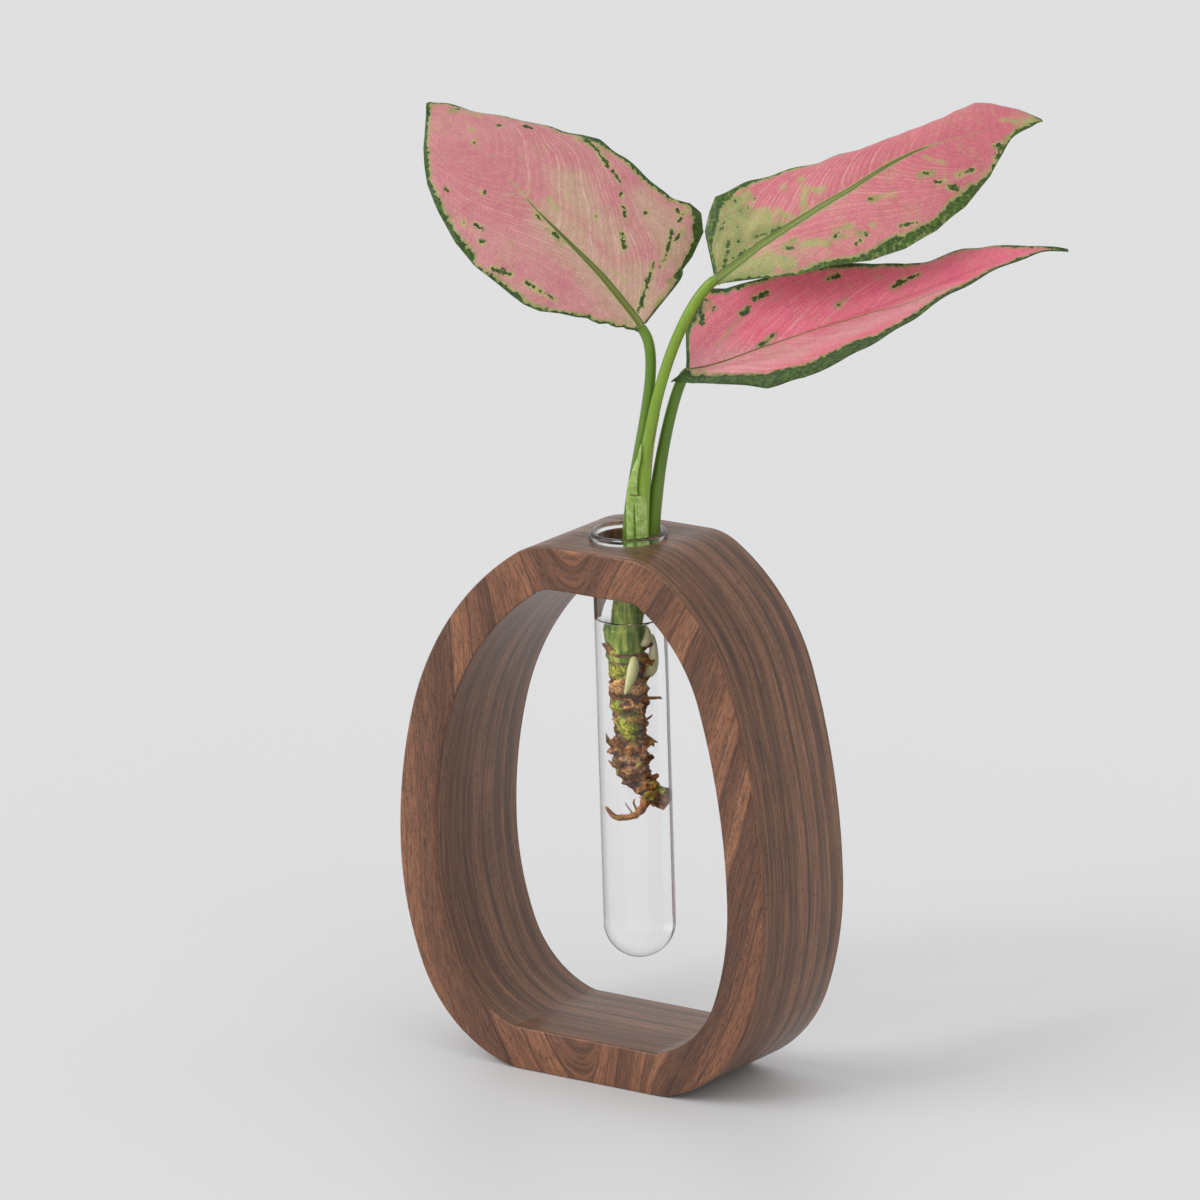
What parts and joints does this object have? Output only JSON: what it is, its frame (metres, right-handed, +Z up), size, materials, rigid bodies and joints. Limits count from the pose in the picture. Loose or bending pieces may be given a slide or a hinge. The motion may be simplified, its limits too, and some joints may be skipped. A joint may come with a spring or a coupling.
{
  "type": "framed vase",
  "caption": "Framed vase: a glass test tube hangs through the crown of a standing wooden ring and holds a leafy cutting in water.",
  "frame": {"origin": "middle of the flat that the ring stands on, halfway through the ring's depth", "axes": "+X to the right seen from the front, +Y from the front to the back, +Z up, along the tube's axis"},
  "size_m": [0.2123, 0.1201, 0.3348],
  "materials": {
    "walnut": "satin oiled",
    "clear_glass": "polished",
    "water": "clear",
    "green_stem": "smooth",
    "pale_sheath": "papery",
    "pale_bud": "smooth",
    "rootstock_bark": "rough",
    "pink_leaf": "satin"
  },
  "bodies": {
    "frame": {"ring_frame": "walnut"},
    "tube": {"test_tube": "clear_glass", "water": "water"},
    "cutting": {"stem": "green_stem", "rootstock": "rootstock_bark", "root_long": "rootstock_bark", "root_short": "rootstock_bark", "root_stubs": "rootstock_bark", "bud_upper": "pale_bud", "bud_lower": "pale_bud", "sheath": "pale_sheath", "stalk_left": "green_stem", "stalk_upper": "green_stem", "stalk_lower": "green_stem", "blade_left": "pink_leaf", "blade_upper": "pink_leaf", "blade_lower": "pink_leaf"}
  },
  "joints": [
    {"name": "tube_lift", "type": "slide", "parent": "frame", "child": "tube", "axis": [0, 0, 1], "range_m": [0, 0.155]},
    {"name": "cutting_lift", "type": "slide", "parent": "tube", "child": "cutting", "axis": [0, 0, 1], "range_m": [0, 0.11]}
  ]
}
